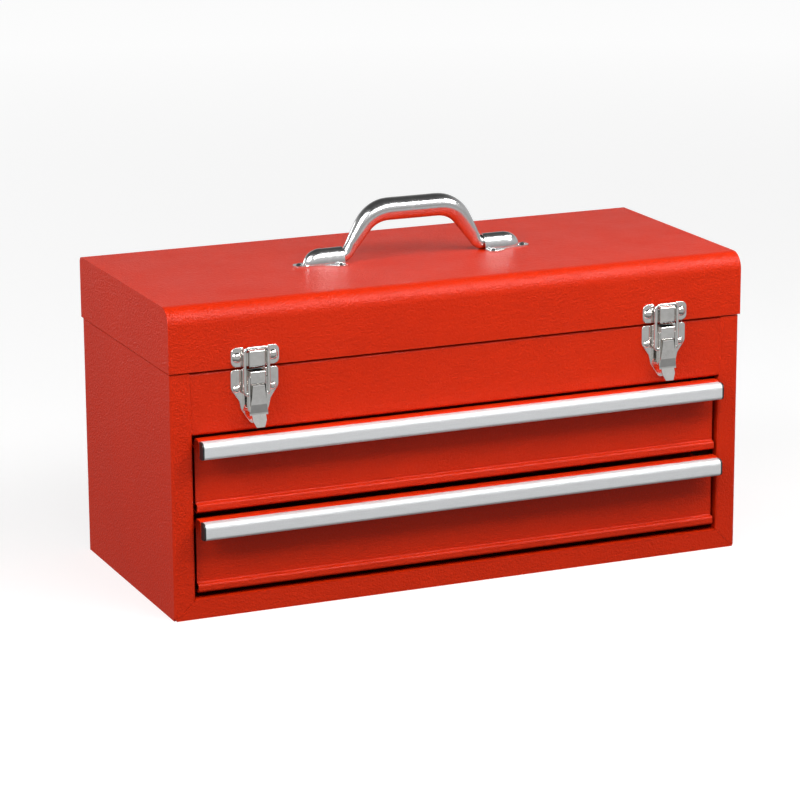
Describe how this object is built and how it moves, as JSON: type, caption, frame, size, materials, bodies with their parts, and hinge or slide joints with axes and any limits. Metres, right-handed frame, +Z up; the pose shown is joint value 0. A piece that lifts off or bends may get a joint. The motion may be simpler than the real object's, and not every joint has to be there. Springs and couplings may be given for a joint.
{
  "type": "portable toolbox",
  "caption": "Portable red steel tool chest with a hinged lid, folding carrying handle, draw latches, front drawers and a lift-out tray.",
  "frame": {"origin": "middle of the bottom face of the case, on the surface that it stands on", "axes": "+Z up, +X along the width to the right as seen from the front, -Y towards the drawers and latches, +Y towards the lid's hinge"},
  "size_m": [0.5218, 0.2465, 0.3153],
  "materials": {
    "red_paint": "satin powder coat with a fine orange-peel texture",
    "tray_paint": "satin powder coat",
    "nickel_plate": "bright nickel plate",
    "polished_steel": "polished with fine lengthwise marks",
    "brushed_aluminium": "satin, brushed lengthwise",
    "black_plastic": "matte moulded",
    "zinc_plate": "dull zinc plate"
  },
  "bodies": {
    "case": {"case_wrap": "red_paint", "bottom_pan": "red_paint", "front_panel": "red_paint", "compartment_floor": "red_paint", "hinge_case_leaf": "red_paint", "hinge_pin": "zinc_plate", "tray_ledge_left": "zinc_plate", "tray_ledge_right": "zinc_plate", "upper_runner_left": "zinc_plate", "upper_runner_right": "zinc_plate", "lower_runner_left": "zinc_plate", "lower_runner_right": "zinc_plate", "latch_base_left": "nickel_plate", "latch_base_right": "nickel_plate", "latch_pin_left": "nickel_plate", "latch_pin_right": "nickel_plate", "latch_base_rivets": "nickel_plate"},
    "lid": {"lid_wrap": "red_paint", "lid_end_left": "red_paint", "lid_end_right": "red_paint", "hinge_lid_leaf": "red_paint", "handle_bracket_left": "polished_steel", "handle_bracket_right": "polished_steel", "handle_bracket_rivets": "polished_steel", "latch_strike_left": "nickel_plate", "latch_strike_right": "nickel_plate", "latch_strike_rivets": "nickel_plate"},
    "carrying_handle": {"handle": "polished_steel"},
    "left_lever": {"latch_lever_left": "nickel_plate"},
    "right_lever": {"latch_lever_right": "nickel_plate"},
    "left_bail": {"latch_bail_left": "nickel_plate"},
    "right_bail": {"latch_bail_right": "nickel_plate"},
    "upper_drawer": {"upper_drawer_front": "red_paint", "upper_drawer_pan": "red_paint", "upper_drawer_pull": "brushed_aluminium", "upper_pull_cap_left": "black_plastic", "upper_pull_cap_right": "black_plastic"},
    "lower_drawer": {"lower_drawer_front": "red_paint", "lower_drawer_pan": "red_paint", "lower_drawer_pull": "brushed_aluminium", "lower_pull_cap_left": "black_plastic", "lower_pull_cap_right": "black_plastic"},
    "tray": {"tray_pan": "tray_paint", "tray_handle": "zinc_plate", "tray_handle_rivets": "zinc_plate"}
  },
  "joints": [
    {"name": "lid_hinge", "type": "hinge", "parent": "case", "child": "lid", "pos_m": [0, 0.116, 0.2086], "axis": [-1, 0, 0], "range_deg": [0, 105]},
    {"name": "handle_fold", "type": "hinge", "parent": "lid", "child": "carrying_handle", "pos_m": [0, -0.004, 0.2687], "axis": [1, 0, 0], "range_deg": [-83, 83]},
    {"name": "left_lever_swing", "type": "hinge", "parent": "case", "child": "left_lever", "pos_m": [-0.187, -0.1177, 0.1995], "axis": [-1, 0, 0], "range_deg": [0, 110]},
    {"name": "right_lever_swing", "type": "hinge", "parent": "case", "child": "right_lever", "pos_m": [0.187, -0.1177, 0.1995], "axis": [-1, 0, 0], "range_deg": [0, 110]},
    {"name": "left_bail_swing", "type": "hinge", "parent": "left_lever", "child": "left_bail", "pos_m": [-0.187, -0.1171, 0.187], "axis": [-1, 0, 0], "range_deg": [-110, 0]},
    {"name": "right_bail_swing", "type": "hinge", "parent": "right_lever", "child": "right_bail", "pos_m": [0.187, -0.1171, 0.187], "axis": [-1, 0, 0], "range_deg": [-110, 0]},
    {"name": "upper_drawer_slide", "type": "slide", "parent": "case", "child": "upper_drawer", "axis": [0, -1, 0], "range_m": [0, 0.14]},
    {"name": "lower_drawer_slide", "type": "slide", "parent": "case", "child": "lower_drawer", "axis": [0, -1, 0], "range_m": [0, 0.14]},
    {"name": "tray_lift", "type": "slide", "parent": "case", "child": "tray", "axis": [0, 0, 1], "range_m": [0, 0.034]}
  ],
  "couplings": [
    {"joint": "left_bail_swing", "follows": "left_lever_swing", "ratio": -1},
    {"joint": "right_bail_swing", "follows": "right_lever_swing", "ratio": -1}
  ]
}
